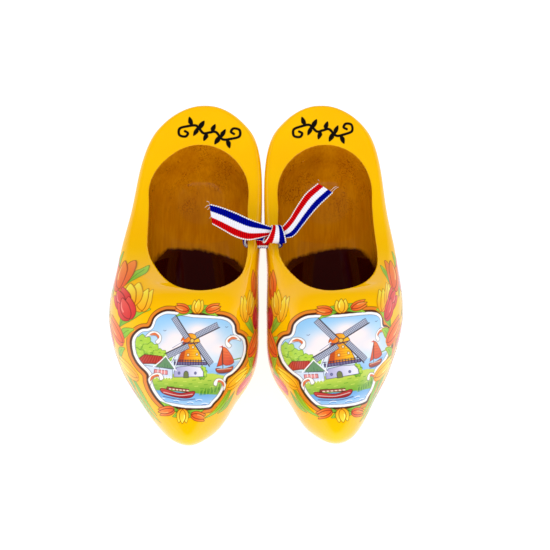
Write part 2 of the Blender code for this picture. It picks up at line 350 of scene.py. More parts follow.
# ---- Drawings -----------------------------------------------------------------------------------
def flowing(points, closed=True, steps=6):
    """A smooth curve through points, as more points."""
    points = np.array(points, float)
    count = len(points)
    if closed:
        wrapped = points[np.arange(-1, count + 2) % count]
    else:
        wrapped = points[np.clip(np.arange(-1, count + 1), 0, count - 1)]
    t = (np.arange(steps) / steps)[:, None]
    pieces = []
    for i in range(len(wrapped) - 3):
        a, b, c, d = wrapped[i : i + 4]
        bend = (2 * a - 5 * b + 4 * c - d) * t**2 + (3 * b - a - 3 * c + d) * t**3
        pieces.append(b + ((c - a) * t + bend) / 2)
    if not closed:
        pieces.append(points[-1:])
    return np.concatenate(pieces)


def path_distance(at, points, closed):
    """How far each place is from a path; negative inside a closed one."""
    nearest, inside = np.full(at.shape[:2], 1e9), np.zeros(at.shape[:2], bool)
    ends = np.roll(points, -1, axis=0)
    for a, b in list(zip(points, ends))[: None if closed else -1]:
        way, from_a = b - a, at - a
        share = np.clip((from_a @ way) / max(way @ way, 1e-12), 0, 1)
        gap = from_a - share[..., None] * way
        nearest = np.minimum(nearest, (gap**2).sum(axis=2))
        if a[1] != b[1]:
            crosses = (a[1] > at[..., 1]) != (b[1] > at[..., 1])
            side = from_a[..., 0] < way[0] * from_a[..., 1] / way[1]
            inside ^= crosses & side
    return np.sqrt(nearest) * np.where(inside & closed, -1, 1)


class Canvas:
    """A flat drawing in millimetres: a grid of colours, and how much of each cell is inked."""

    def __init__(self, low, high, cell):
        self.low, self.cell = np.array(low, float), cell
        self.size = np.ceil((np.array(high) - self.low) / cell).astype(int) + 1
        across, up = (self.low[k] + cell * np.arange(self.size[k]) for k in (0, 1))
        self.places = np.stack(np.meshgrid(across, up, indexing="ij"), axis=-1)
        self.colour, self.cover = np.zeros((*self.size, 3)), np.zeros(self.size)
        self.mask = np.ones(self.size)

    def part_near(self, points, pad):
        """The part of the grid within pad of the points."""
        low = np.floor((points.min(axis=0) - pad - self.low) / self.cell).astype(int)
        high = np.ceil((points.max(axis=0) + pad - self.low) / self.cell).astype(int) + 1
        low, high = np.clip(low, 0, self.size), np.clip(high, 0, self.size)
        return slice(low[0], high[0]), slice(low[1], high[1])

    def lay(self, part, share, colour):
        """Lays ink: one colour, or two and the places where each is pure."""
        share = (share * self.mask[part])[..., None]
        if len(colour) == 4:
            near, far, start, end = (np.array(row, float) for row in colour)
            way = end - start
            along = np.clip((self.places[part] - start) @ way / (way @ way), 0, 1)[..., None]
            colour = near + (far - near) * along
        else:
            colour = np.array(colour, float)
        before = self.cover[part][..., None]
        after = share + before * (1 - share)
        mixed = colour / 255 * share + self.colour[part] * before * (1 - share)
        self.colour[part] = mixed / np.maximum(after, 1e-6)
        self.cover[part] = after[..., 0]

    def fill(self, points, colour, line=None, width=0.22):
        points = np.array(points, float)
        part = self.part_near(points, width + self.cell)
        far = path_distance(self.places[part], points, True)
        self.lay(part, np.clip(0.5 - far / self.cell, 0, 1), colour)
        if line is not None:
            self.lay(part, np.clip(0.5 - (abs(far) - width / 2) / self.cell, 0, 1), line)

    def stroke(self, points, colour, width):
        points = np.array(points, float)
        part = self.part_near(points, width + self.cell)
        far = path_distance(self.places[part], points, False)
        self.lay(part, np.clip(0.5 - (far - width / 2) / self.cell, 0, 1), colour)

    def mist(self, centre, size, colour):
        """An ellipse that fades out."""
        part = self.part_near(np.array((centre,)), 2 * max(size))
        reach = (((self.places[part] - centre) / size) ** 2).sum(axis=2)
        self.lay(part, np.exp(-reach), colour)

    def blob(self, centre, size, colour, line, width, bumps=0):
        """An ellipse, or a bumpy one."""
        angle = np.radians(np.arange(0, 360, 10))
        reach = 1 + 0.1 * np.sin(bumps * angle)
        ring = np.stack((reach * np.cos(angle), reach * np.sin(angle)), axis=1)
        self.fill(ring * size + centre, colour, line, width)


def turned(points, degrees):
    angle = math.radians(degrees)
    c, s = math.cos(angle), math.sin(angle)
    return np.array(points, float) @ np.array(((c, s), (-s, c)))


def placed(points, centre, size, turn):
    """A smooth closed curve, given around zero, that is scaled, turned and moved to centre."""
    return turned(flowing(np.array(points) * size), turn) + np.array(centre)


def sideways(way):
    """The direction to the left of way, of length one."""
    return np.array((-way[1], way[0])) / np.linalg.norm(way)


# Each kind of tulip: its deep and light colours, and its outline's.
ORANGE_TULIP = ((238, 96, 40), (252, 150, 60), (120, 34, 20))
RED_TULIP = ((214, 44, 44), (238, 96, 84), (110, 16, 20))
PINK_TULIP = ((226, 70, 76), (246, 140, 128), (130, 30, 34))
YELLOW_TULIP = ((251, 168, 28), (255, 242, 76), (150, 70, 10))
LEAF_GREEN, LEAF_DARK = (122, 178, 42), (40, 96, 30)


def draw_tulip(canvas, centre, length, width, turn, colours):
    """A tulip's head: two outer petals and a middle one, light at the tips."""
    deep, light, line = colours
    where = (centre, (width / 2, length / 2), turn)
    axis = turned([(0, length / 2)], turn)[0]
    shade = (deep, light, centre - axis, centre + axis)
    left = ((0, -1), (-0.62, -0.9), (-1, -0.35), (-0.95, 0.3), (-0.66, 0.9), (-0.3, 0.55), (0, 0))
    right = [(-a, b) for a, b in left[::-1]]
    middle = ((0, -0.95), (-0.42, -0.55), (-0.52, 0.15), (-0.2, 0.75), (0.05, 1), (0.3, 0.7))
    middle += ((0.52, 0.1), (0.4, -0.6))
    for petal, line_width in ((left, 0.2), (right, 0.2), (middle, 0.24)):
        canvas.fill(placed(petal, *where), shade, line, line_width)
    gleam = ((-0.34, -0.2), (-0.36, 0.2), (-0.16, 0.62), (-0.1, 0.62), (-0.24, 0.2), (-0.22, -0.2))
    canvas.fill(placed(gleam, *where), tuple(min(255, c + 50) for c in light))


def draw_leaf(canvas, root, tip, width, bend):
    """A pointed leaf from root to tip, its middle pushed aside by bend."""
    root, tip = np.array(root, float), np.array(tip, float)
    way = tip - root
    side = sideways(way)
    spine = [root + way * t + side * bend * 4 * t * (1 - t) for t in (0, 0.25, 0.5, 0.75, 1)]
    wide = (0.12, 0.8, 1, 0.62, 0)
    one = [p + side * width / 2 * w for p, w in zip(spine, wide)]
    other = [p - side * width / 2 * w for p, w in zip(spine, wide)][:-1]
    canvas.fill(flowing(one + other[::-1]), (LEAF_GREEN, (170, 214, 66), root, tip), LEAF_DARK, 0.18)
    canvas.stroke(flowing(spine[:-1], False), LEAF_DARK, 0.12)


# The frame's outline, clockwise from the top left, in lobes that meet at notches.
FRAME_LOBES = (
    ((-8.0, 21.9), (-11.8, 22.0), (-15.0, 21.1), (-17.6, 19.5), (-19.2, 17.6), (-20.0, 15.3)),
    ((-20.3, 14.6), (-22.7, 14.2), (-24.9, 12.5), (-26.5, 9.9), (-27.1, 7.0), (-26.8, 3.8)),
    ((-26.0, 0.6), (-24.3, -2.6), (-22.3, -5.1), (-20.6, -6.7), (-19.8, -7.7)),
    ((-19.6, -10.2), (-18.5, -13.4), (-16.9, -16.3), (-15.0, -18.8), (-12.4, -21.2)),
    ((-2.2, -22.4), (8.6, -22.4), (12.1, -19.8), (14.7, -17.2), (16.6, -14.0), (17.4, -11.5)),
    ((17.8, -9.5), (20.1, -8.3), (23.0, -5.7), (25.2, -2.6), (26.7, 1.3), (27.0, 5.1)),
    ((26.4, 8.3), (24.9, 10.3), (23.0, 11.5), (21.9, 11.8)),
    ((21.5, 14.4), (20.1, 16.6), (18.2, 18.2), (16.0, 19.2), (12.4, 19.9), (1.0, 20.6)),
)
SKY, WATER = (140, 198, 244), (138, 190, 236)
DARK_LINE, BROWN_LINE = (60, 60, 84), (76, 40, 26)
TRIM_WHITE, RAIL_VIOLET = (248, 248, 252), (54, 48, 82)
CLOUDS = (
    ((-7, 8), (6, 5)), ((1, 5), (8, 5)), ((8, 9), (6, 4)), ((-11, 4), (5, 3.4)), ((13, 4), (5, 3)),
    ((3, 12), (5, 3)),
)
TREES = (
    ((-21.5, 4.5), (4.2, 5.2)), ((-18.0, 2.2), (4.0, 4.4)), ((-23.0, 0.0), (3.6, 4.0)),
    ((-14.2, 0.6), (3.8, 3.4)), ((-10.6, 0.4), (2.2, 2.0)), ((5.2, -5.8), (2.2, 2.8)),
)


def draw_sky(canvas):
    canvas.fill(((-30, 24), (30, 24), (30, -8), (-30, -8)), (SKY, (214, 234, 248), (0, 20), (0, -2)))
    for centre, size in CLOUDS:
        canvas.mist(centre, size, (255, 238, 238))
    for a, b in ((-15, 9), (-12, 11.6), (16, 13), (18.4, 9.6), (11, 14.6)):
        canvas.stroke(((a - 0.6, b + 0.3), (a, b), (a + 0.6, b + 0.35)), (96, 104, 140), 0.2)


def draw_land(canvas):
    lake = ((6, -2), (30, -1), (30, -12), (6, -12))
    canvas.fill(lake, ((176, 212, 244), WATER, (0, -1), (0, -9)))
    canvas.stroke(((18.5, -0.9), (27, 0.6)), (120, 160, 90), 0.5)
    for k in range(9):
        a, b = 14.6 + 2.9 * (k % 4), -2.4 - 0.7 * k
        canvas.stroke(((a, b), (a + 2.2, b - 0.1)), (84, 140, 214), 0.2)
    meadow = ((-22, -6.4), (10, -6.2), (24, -9.4), (24, -16), (-22, -16))
    canvas.fill(meadow, ((196, 216, 84), (122, 176, 60), (0, -8), (0, -14)))
    for k in range(22):
        a, b = -17 + 29 * (k * 0.618 % 1), -8.6 - 0.2 * k
        tone = (98, 158, 48) if k % 2 else (214, 228, 104)
        canvas.stroke(((a, b), (a + 1.5, b + 0.05)), tone, 0.24)
    canal = ((-30, -13.2), (-8, -13.4), (4, -14.4), (16, -15.6), (30, -13), (30, -24), (-30, -24))
    canvas.fill(canal, ((108, 170, 228), (198, 226, 250), (0, -14), (0, -21)))
    for k in range(16):
        a, b = -14 + 27 * (k * 0.618 % 1), -16.8 - 0.33 * k
        ripple = flowing(((a, b), (a + 1.3, b + 0.3), (a + 2.6, b)), False)
        canvas.stroke(ripple, (250, 252, 255), 0.3)
        canvas.stroke(ripple - np.array((0.2, 0.4)), (66, 122, 206), 0.22)
    for k in range(26):
        a = 4.0 + 0.52 * k
        foot = -15.0 + 0.006 * k * k
        tone = (58, 122, 40) if k % 3 else (150, 190, 70)
        canvas.stroke(((a, foot), (a + 0.3, foot + 1.9 + 0.6 * math.sin(5 * a))), tone, 0.24)


def draw_tree(canvas, centre, size):
    centre, size = np.array(centre), np.array(size)
    leaves = ((176, 214, 74), (84, 150, 40), centre, centre - size)
    canvas.blob(centre, size, leaves, (70, 128, 44), 0.16, 9)
    for k in range(14):
        turn, out = 2.4 * k, 0.22 * math.sqrt(k)
        place = centre + size * (out * math.cos(turn), out * math.sin(turn))
        tone = (206, 230, 110) if k % 2 else (72, 134, 44)
        canvas.stroke(flowing((place, place + (0.35, 0.3), place + (0.75, 0)), False), tone, 0.2)


def draw_house(canvas):
    wall = ((-19.6, -3), (-8.2, -4.4), (-8.2, -8), (-19, -7.6))
    canvas.fill(wall, (214, 226, 246), DARK_LINE, 0.16)
    roof = ((-22, -0.3), (-20, 1.6), (-13.4, 1), (-11, -1.8), (-15.6, -2.2), (-20.4, -2.4))
    canvas.fill(roof, (178, 52, 44), BROWN_LINE, 0.2)
    for k in range(9):
        canvas.stroke(((-21.4 + k, -1.6), (-20.2 + 0.9 * k, 1.1)), (216, 96, 74), 0.16)
    canvas.fill(((-15.6, -3.6), (-11.4, 0.8), (-7.4, -4.2)), (110, 150, 110), DARK_LINE, 0.16)
    canvas.stroke(((-16.4, -3.4), (-11.4, 1.1), (-6.6, -4.8)), TRIM_WHITE, 0.5)
    for a in (-14.2, -13, -11.8, -10.6, -9.4):
        canvas.stroke(((a, -3.6), (a, -1.9 - 0.9 * abs(a + 11.6))), (70, 112, 80), 0.18)
    window = ((-16, -4.6), (-10.6, -5), (-10.6, -6.6), (-16, -6.4))
    canvas.fill(window, (236, 150, 150), (150, 40, 44), 0.2)
    for a in (-14.7, -13.3, -11.9):
        canvas.stroke(((a, -4.6), (a, -6.5)), (250, 250, 252), 0.26)
    for k in range(9):
        canvas.stroke(((-19.4 + 1.3 * k, -8.4), (-19.4 + 1.3 * k, -7.2)), TRIM_WHITE, 0.3)
    canvas.stroke(((-19.8, -7.7), (-8.4, -7.9)), TRIM_WHITE, 0.26)


def draw_mill(canvas):
    base = flowing(((-7.6, -7.6), (-6.2, -3.4), (4.4, -3.4), (5.8, -7.4)), False, 2)
    canvas.fill(base, ((238, 236, 250), (176, 172, 214), (4, -5), (-7, -5)), DARK_LINE, 0.2)
    door = flowing(((-3.1, -7.8), (-3, -5.8), (-2, -5), (-1, -5.8), (-0.9, -7.8)), False, 3)
    canvas.fill(door, (120, 128, 80), DARK_LINE, 0.2)
    for a in (-5.2, 2.2):
        canvas.blob((a, -5.9), (0.5, 0.55), (120, 120, 170), DARK_LINE, 0.14)
    brick = (112, 50, 20)
    body = ((-6, -1.6), (-4.4, 2.6), (-3.2, 7.2), (3.2, 7.0), (4, 2.6), (5.4, -1.6))
    canvas.fill(body, ((226, 104, 40), (252, 198, 40), (-4.6, 2), (2.6, 2)), brick, 0.24)
    dark_side = (*body[:3], (-2, 7.2), (-2.6, 2.6), (-3.4, -1.6))
    canvas.fill(dark_side, (190, 78, 40))
    for k in range(8):
        b = -1 + k
        canvas.stroke(((-5.4 + 0.3 * k, b), (4.9 - 0.24 * k, b - 0.1)), (214, 96, 34), 0.12)
    for a, b in ((0.6, 4.4), (2.4, 1.4), (-1.6, 1.2)):
        window = ((a, b), (a + 0.9, b), (a + 0.9, b + 1), (a, b + 1))
        canvas.fill(window, (250, 236, 190), brick, 0.16)
    cap = flowing(((-4.2, 7.0), (-3.4, 9.2), (-0.6, 10.6), (2.4, 9.8), (4, 7.0), (0, 6.5)))
    canvas.fill(cap, ((234, 110, 40), (254, 196, 50), (-3, 8), (3, 9)), brick, 0.24)
    canvas.stroke(((-4.2, 6.9), (0, 6.4), (4, 6.9)), (104, 70, 90), 0.5)
    gallery = ((-7.6, -1.2), (7.4, -1.4), (7.2, -2.6), (-7.4, -2.6))
    canvas.fill(gallery, (120, 108, 146), (50, 44, 76), 0.2)
    for a in np.arange(-7.2, 7.3, 1.2):
        canvas.stroke(((a, -0.4), (a, -2.5)), RAIL_VIOLET, 0.24)
    canvas.stroke(((-7.8, -0.5), (7.6, -0.7)), RAIL_VIOLET, 0.26)
    for end in ((-7.4, -4.6), (-9.4, -2.4), (-8.6, 4.6)):
        canvas.stroke(((-3.6, 7.4), end), (244, 244, 250), 0.44)
        canvas.stroke(((-3.5, 7.2), np.array(end) + (0.25, 0)), (84, 80, 112), 0.16)


def draw_sails(canvas, hub, turns):
    for turn in turns:
        def put(points):
            return turned(points, turn) + np.array(hub)

        lattice = put(((2.4, 0.2), (13, 0.2), (13, 2.5), (2.4, 2.3)))
        canvas.fill(lattice, (196, 202, 220), (70, 72, 96), 0.2)
        for reach in np.arange(3.1, 13, 0.72):
            canvas.stroke(put(((reach, 0.2), (reach, 2.4))), (78, 80, 104), 0.18)
        for up in (0.9, 1.65):
            canvas.stroke(put(((2.4, up), (13, up))), (100, 104, 128), 0.16)
        canvas.stroke(put(((0, 0), (13.4, 0))), (70, 64, 74), 0.42)
    canvas.blob(hub, (0.9, 0.9), (232, 190, 90), (90, 50, 30), 0.24)


def draw_sailing_boat(canvas):
    hull = flowing(((11.4, -4.2), (12.4, -6), (17.4, -5.8), (19, -3.6), (15, -4.4)))
    canvas.fill(hull, ((206, 84, 50), (150, 56, 44), (14, -4), (14, -6)), (84, 34, 30), 0.22)
    main = flowing(((14.2, 4.4), (16.8, 3.4), (19.4, -1.8), (14.8, -2.6)), True, 4)
    jib = ((14, 3.4), (11.8, -3.4), (14.2, -2.8))
    for sail in (main, jib):
        canvas.fill(sail, ((240, 116, 60), (210, 70, 40), (15, 3), (16, -3)), (110, 40, 24), 0.2)
    for k in range(4):
        seam = ((14.6 + 0.1 * k, 2.8 - 1.3 * k), (16.8 + 0.6 * k, 2.4 - 1.2 * k))
        canvas.stroke(seam, (186, 64, 40), 0.14)
    canvas.stroke(((14.3, 5.2), (14.5, -4.4)), (84, 44, 40), 0.3)
    canvas.fill(((14.3, 5.2), (12.8, 4.9), (14.3, 4.5)), (220, 60, 50))
    canvas.stroke(((12, -4.6), (18.2, -4.4)), (244, 214, 190), 0.26)
    canvas.stroke(((11.8, -6.5), (18.4, -6.3)), (92, 116, 180), 0.3)


def draw_barge(canvas):
    side = ((-12.8, -12.4), (-11.6, -14.8), (-4, -16.2), (0.6, -15.8), (1.8, -13.4), (-5, -14.2))
    canvas.fill(flowing(side), ((206, 70, 64), (158, 44, 48), (0, -13), (0, -16)), (90, 24, 30), 0.24)
    cabin = ((-11, -12.6), (-1, -13.8), (-0.6, -12.6), (-10.6, -11.6))
    canvas.fill(cabin, (150, 72, 60), (80, 30, 30), 0.2)
    for a in np.arange(-9.6, -1.4, 1.6):
        b = -12.5 - 0.07 * (a + 10)
        canvas.stroke(((a, b), (a + 0.7, b - 0.1)), (250, 224, 200), 0.5)
    canvas.stroke(flowing(((-12, -14), (-5, -15.2), (1, -14.6)), False), (248, 220, 214), 0.26)
    canvas.stroke(flowing(((-12, -15.8), (-4, -17), (2, -16.6)), False), (84, 92, 150), 0.36)


def draw_scroll(canvas, centre, size, turn):
    """A white curl with an orange tip, where two lobes of the frame meet."""
    curl = ((-1.4, -0.1), (-0.6, 0.85), (0.6, 0.8), (1.35, 0.1), (1.3, -0.75), (0.75, -1.25))
    curl += ((0.25, -0.85), (0.7, -0.3), (0.2, 0.15), (-0.6, 0.1))
    tip = ((-0.7, 0.3), (0.1, 0.62), (0.9, 0.12), (0.8, -0.3), (0.35, 0.22))
    canvas.fill(placed(curl, centre, size, turn), (252, 250, 246), (112, 92, 96), 0.18)
    canvas.fill(placed(tip, centre, size, turn), (236, 120, 60), (176, 70, 40), 0.14)


# The frame's bands: where each starts and ends, outwards from the frame's outline, and its colour.
FRAME_BANDS = (
    (-3.4, -3.15, (110, 116, 150)),
    (-3.2, -2.1, (252, 252, 252)),
    (-2.15, -1.2, BROWN_LINE),
    (-1.25, 0.0, (232, 132, 40)),
    (-0.02, 0.2, (104, 56, 20)),
)
PICTURE_INSET = 3.3
# The scrolls' centres, sizes across and up (mirrored where across is negative), and turns.
SCROLLS = (
    ((-17.0, 9.2), (2.5, 2.5), 0),
    ((19.0, 7.4), (-2.5, 2.5), 0),
    ((-15.6, -8.6), (2.2, 2.2), 60),
    ((13.6, -11.0), (-2.2, 2.2), -60),
)


def draw_garland(canvas, sign, middle, height, tilt):
    """A row of three tulips with leaves, over the frame's top (1) or its foot (-1)."""
    for side, reach in ((-1, 9.5), (1, 9.5), (-1, 4.6), (1, 4.6)):
        root = (middle + side * 1.4, height)
        lift = 1.2 if reach < 6 else -1.0 - side * tilt * 0.2
        tip = (middle + side * reach, height + sign * lift * 2)
        draw_leaf(canvas, root, tip, 2.0, side * sign * 0.6)
    upright = 0 if sign > 0 else 180
    for side in (-1, 1):
        centre = (middle + side * 7.2, height + sign * 1.3 + side * tilt * 0.25)
        draw_tulip(canvas, centre, 6.6, 4.0, upright - side * sign * 76, ORANGE_TULIP)
    draw_tulip(canvas, (middle, height + sign * 2.2), 5.8, 5.4, upright, YELLOW_TULIP)


def cartouche():
    """The landscape in its frame, with tulips above and below."""
    canvas = Canvas((-29, -30), (29, 26), 0.17)
    outline = np.concatenate([flowing(lobe, False, 5) for lobe in FRAME_LOBES])
    far = path_distance(canvas.places, outline, True)
    whole = canvas.part_near(np.array(((-99, -99), (99, 99))), 0)
    canvas.mask = np.clip(0.5 - (far + PICTURE_INSET) / canvas.cell, 0, 1)
    draw_sky(canvas)
    draw_land(canvas)
    for centre, size in TREES:
        draw_tree(canvas, centre, size)
    draw_mill(canvas)
    draw_house(canvas)
    draw_sails(canvas, (0.6, 7.6), (24, 126, 204, 306))
    draw_sailing_boat(canvas)
    draw_barge(canvas)
    canvas.mask = np.ones(canvas.size)

    for start, end, colour in FRAME_BANDS:
        before_end = np.clip(0.5 + (end - far) / canvas.cell, 0, 1)
        canvas.lay(whole, before_end * np.clip(0.5 + (far - start) / canvas.cell, 0, 1), colour)
    for scroll in SCROLLS:
        draw_scroll(canvas, *scroll)
    draw_garland(canvas, 1, 2.4, 19.8, 0)
    draw_garland(canvas, -1, -3.4, -21.6, -4)
    return canvas


# The sprays on the clog's sides, drawn with the heel at the top and the clog's crown at the right.
# A leaf has its root, tip, width and bend. A tulip has its centre, length, width, turn and kind.
OUTER_LEAVES = (
    ((16, -14), (14.6, 8), 3.4, 0.5), ((23.6, -12), (25, -1), 3.6, -0.8),
    ((10, -20), (7, 0), 3.2, 1.0), ((2, -30), (1, -8), 4.2, 0.8),
    ((18, -29), (33, -27), 5.2, 1.5), ((15, -34), (24, -33), 3.8, 1.0),
    ((5, -38), (15, -38), 3.6, 1.0), ((3, -52), (9, -38), 3.8, 0.8),
    ((-4, -48), (-4, -28), 4.0, 1.0), ((9, -46), (5.4, -67), 3.4, -1.2),
    ((2, -47), (4, -70), 3.0, -1.4), ((-2, -50), (0, -66), 2.6, -1.0),
)
OUTER_TULIPS = (
    ((11.5, -1.0), 16.5, 8.0, 14, PINK_TULIP),
    ((19.4, -5.6), 16.0, 8.4, 14, ORANGE_TULIP),
    ((4.6, -11), 15, 7.4, 16, YELLOW_TULIP),
    ((30.6, -21.6), 11, 7.0, -10, YELLOW_TULIP),
    ((26.2, -17.8), 12, 8.0, 12, YELLOW_TULIP),
    ((22.4, -18.6), 11.5, 7.8, 24, RED_TULIP),
    ((23.8, -23.6), 10.0, 8.2, 4, RED_TULIP),
    ((13.0, -28.6), 15, 8.4, 20, ORANGE_TULIP),
    ((2.6, -24), 14, 7.4, 18, PINK_TULIP),
    ((-5.4, -32), 13, 7.6, 18, RED_TULIP),
    ((7.6, -44), 15.5, 7.2, 30, YELLOW_TULIP),
    ((-6.4, -46), 12, 6.6, 30, PINK_TULIP),
)
INNER_LEAVES = (
    ((16, -14), (17, -4), 3.0, 0.6), ((8, -18), (5, 2), 3.8, 1.0),
    ((13, -30), (25, -27), 5.0, 1.2), ((10, -36), (18, -34), 3.8, 0.8),
    ((4, -42), (12, -41), 3.8, 0.8), ((2, -50), (7, -38), 3.8, 0.8),
    ((10, -54), (10.6, -71), 3.2, -1.0), ((6, -55), (8, -67), 2.8, -1.0),
)
INNER_TULIPS = (
    ((15.0, -8.2), 14, 6.8, 12, ORANGE_TULIP),
    ((3.6, -10), 13.5, 7.4, 14, RED_TULIP),
    ((22.6, -23.0), 11, 6.8, -14, YELLOW_TULIP),
    ((18.4, -18.6), 11.5, 7.2, 8, YELLOW_TULIP),
    ((11.6, -21.6), 11, 7.2, 16, RED_TULIP),
    ((5.0, -20.6), 11, 7.2, 20, PINK_TULIP),
    ((10.8, -33.4), 14, 7.0, 16, ORANGE_TULIP),
    ((2.2, -34.6), 13, 7.0, 18, RED_TULIP),
    ((9.6, -50), 13, 6.4, 24, YELLOW_TULIP),
    ((0.4, -48), 12, 6.6, 24, PINK_TULIP),
)


def spray(low, high, leaves, tulips):
    canvas = Canvas(low, high, 0.2)
    for leaf in leaves:
        draw_leaf(canvas, *leaf)
    for tulip in tulips:
        draw_tulip(canvas, *tulip)
    return canvas


def heel_vine():
    """A black vine with leaves and curled ends, in place of lettering."""
    canvas = Canvas((-16, -6), (16, 6), 0.15)
    ink = (16, 12, 10)
    stem = ((-9.5, 0.8), (-6, 1.8), (-2.6, -0.8), (0, 0), (2.6, 0.8), (6, -1.8), (9.5, -0.8))
    canvas.stroke(flowing(stem, False, 10), ink, 1.2)
    for sign in (1, -1):
        curl = ((-9.5, 0.8), (-12.6, -1), (-12.2, -3.9), (-9.6, -4.1), (-8.8, -2.4), (-10.2, -1.7))
        canvas.stroke(flowing(np.array(curl) * sign, False, 8), ink, 1.15)
        for root, tip, width in (
            ((-7.6, 1.6), (-9.8, 5.2), 2.7),
            ((-4.2, 0.6), (-3.2, 4.9), 2.8),
            ((-5.4, 1.2), (-6.3, -3.1), 2.5),
            ((-1.2, -0.3), (-1.6, -4.4), 2.6),
        ):
            root, tip = np.array(root) * sign, np.array(tip) * sign
            way = tip - root
            side = sideways(way) * width / 2
            canvas.fill(flowing((root, root + way * 0.4 + side, tip, root + way * 0.5 - side * 0.6)), ink)
    return canvas


# ---- Differences between the two clogs ----------------------------------------------------------
# Clogs are finished by hand: the right one bulges more at its outer side, and the left one less.
BULGE = (
    (-80.0, 0.0), (-74.0, 0.4), (-66.0, 1.2), (-54.0, 2.4), (-39.0, 3.1), (-27.0, 3.2),
    (-12.0, 2.8), (0.0, 2.3), (25.0, 1.9), (51.0, 1.3), (66.0, 0.7), (80.0, 0.0),
)
BULGE_FROM, BULGE_OVER = 0.5, 0.4  # where it starts, and over what: shares of the half width
# The front of each opening lies LIP_SHIFT to the wearer's left, around LIP_CENTRE.
LIP_SHIFT, LIP_CENTRE, LIP_HALF_WIDTH, LIP_FADE, LIP_LENGTH = 2.0, (30.0, -10.0), 28.0, 10.0, 15.0
SHORTER_TOE = 0.9  # how much shorter the left clog is


def hand_finished(points, sign):
    x, y, z = points.T
    _, medial, lateral, _, _, _ = section(y)
    outwards = (2 * x - medial - lateral) / np.maximum(lateral - medial, 1)
    at_side = smooth(np.clip((outwards - BULGE_FROM) / BULGE_OVER, 0, 1))
    bulge = hermite(*zip(*BULGE), np.clip(y, BULGE[0][0], BULGE[-1][0])) * at_side
    at_lip = smooth(np.clip((LIP_HALF_WIDTH - abs(x - LIP_CENTRE[0])) / LIP_FADE, 0, 1))
    at_lip *= np.exp(-(((y - LIP_CENTRE[1]) / LIP_LENGTH) ** 2))
    shorter = SHORTER_TOE * np.clip((-40 - y) / 40, 0, 1) ** 2 * (sign > 0)
    return np.stack((x + sign * (LIP_SHIFT * at_lip - bulge), y + shorter, z), axis=1)


def finished_normals(points, normals, sign, step=0.05):
    """The directions that normals take once the points are moved by hand_finished."""
    there = hand_finished(points, sign)
    along = unit(np.cross(normals, np.roll(normals, 1, axis=1)))
    across = np.cross(normals, along)
    first = hand_finished(points + along * step, sign) - there
    second = hand_finished(points + across * step, sign) - there
    return unit(np.cross(first, second))


# ---- Prints on the clogs ------------------------------------------------------------------------
VIEW_TILT = math.radians(60)
VIEW_BACK = np.array((0, -math.cos(VIEW_TILT), math.sin(VIEW_TILT)))
VIEW_UP = np.array((0, math.sin(VIEW_TILT), math.cos(VIEW_TILT)))
VIEW_FROM = 75.0  # how far out a drawing starts, along the view
PRINT_LIFT = 0.05
PRINT_STEP = 6  # the first search for the surface is made at every sixth cell


def slide_onto(p, way, rounds):
    """Moves points along way until they reach the outside of the clog."""
    step = 0.05
    for _ in range(rounds):
        near, far = outside_distance(p), outside_distance(p + step * way)
        rate = np.minimum((far - near) / step, -0.15)
        p = p + way * np.clip(-near / rate, -3, 40)[:, None]
    return p


def spread(rough, step, size):
    """Fills a grid in between its every step-th row and column."""
    for axis in (0, 1):
        at = np.arange(size[axis]) / step
        low = np.minimum(at.astype(int), rough.shape[axis] - 2)
        share = (at - low).reshape((-1, 1) if axis == 0 else (1, -1))
        rough = np.take(rough, low, axis) * (1 - share) + np.take(rough, low + 1, axis) * share
    return rough


def seen_from_above(centre, turn, stretch, sign):
    """Lays a drawing down along the view that looks down at 60 degrees."""

    def place(ab):
        flat = turned(ab * np.array((stretch, 1)), turn) + np.array(centre)
        p = flat[:, :1] * np.array((sign, 0, 0)) + flat[:, 1:] * VIEW_UP + VIEW_BACK * VIEW_FROM
        return p, np.broadcast_to(-VIEW_BACK, p.shape)

    return place


def wrapped_on_side(outer):
    """Wraps a drawing round the clog's side: up the side, and along the clog."""

    def place(ab):
        y = ab[:, 1]
        _, medial, lateral, wide, _, _ = section(y)
        half = (lateral - medial) / 2
        angle = np.clip(ab[:, 0] / half, -1.4, 2.2)
        out = np.cos(angle) if outer else -np.cos(angle)
        way = np.stack((out, np.zeros_like(y), np.sin(angle)), axis=1)
        core = np.stack(((medial + lateral) / 2, y, wide), axis=1)
        return core + way * (half * 1.3)[:, None], -way

    return place


def make_print(name, canvas, place, sign, body, paint):
    """Makes the printed skin of one drawing on one clog."""
    inked = canvas.cover > 0.01
    cells = inked[:-1, :-1] | inked[1:, :-1] | inked[:-1, 1:] | inked[1:, 1:]
    used = np.zeros(canvas.size, bool)
    for i in (0, 1):
        for j in (0, 1):
            used[i : i + cells.shape[0], j : j + cells.shape[1]] |= cells
    number = np.full(canvas.size, -1)
    number[used] = np.arange(used.sum())
    rough = [np.minimum(np.arange(0, n + PRINT_STEP, PRINT_STEP), n - 1) for n in canvas.size]
    start, way = place(canvas.places[np.ix_(*rough)].reshape(-1, 2))
    reach = ((slide_onto(start, way, 14) - start) * way).sum(axis=1)
    reach = spread(reach.reshape([len(row) for row in rough]), PRINT_STEP, canvas.size)
    points, way = place(canvas.places[used])
    points = slide_onto(points + way * reach[used][:, None], way, 2) - way * PRINT_LIFT
    i, j = np.nonzero(cells)
    quads = np.stack((number[i, j], number[i + 1, j], number[i + 1, j + 1], number[i, j + 1]), axis=1)
    sides = np.cross(points[quads[:, 1]] - points[quads[:, 0]], points[quads[:, 3]] - points[quads[:, 0]])
    if (sides * way[quads[:, 0]]).sum() > 0:
        quads = quads[:, ::-1]
    points = hand_finished(points, sign)
    if sign < 0:
        points, quads = mirror_x(points), quads[:, ::-1]
    made = new_mesh(name, points, quads)
    add_ink(made, canvas.colour[used])
    add_numbers(made, "cover", canvas.cover[used])
    made.data.materials.append(paint)
    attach(made, body)
    return made


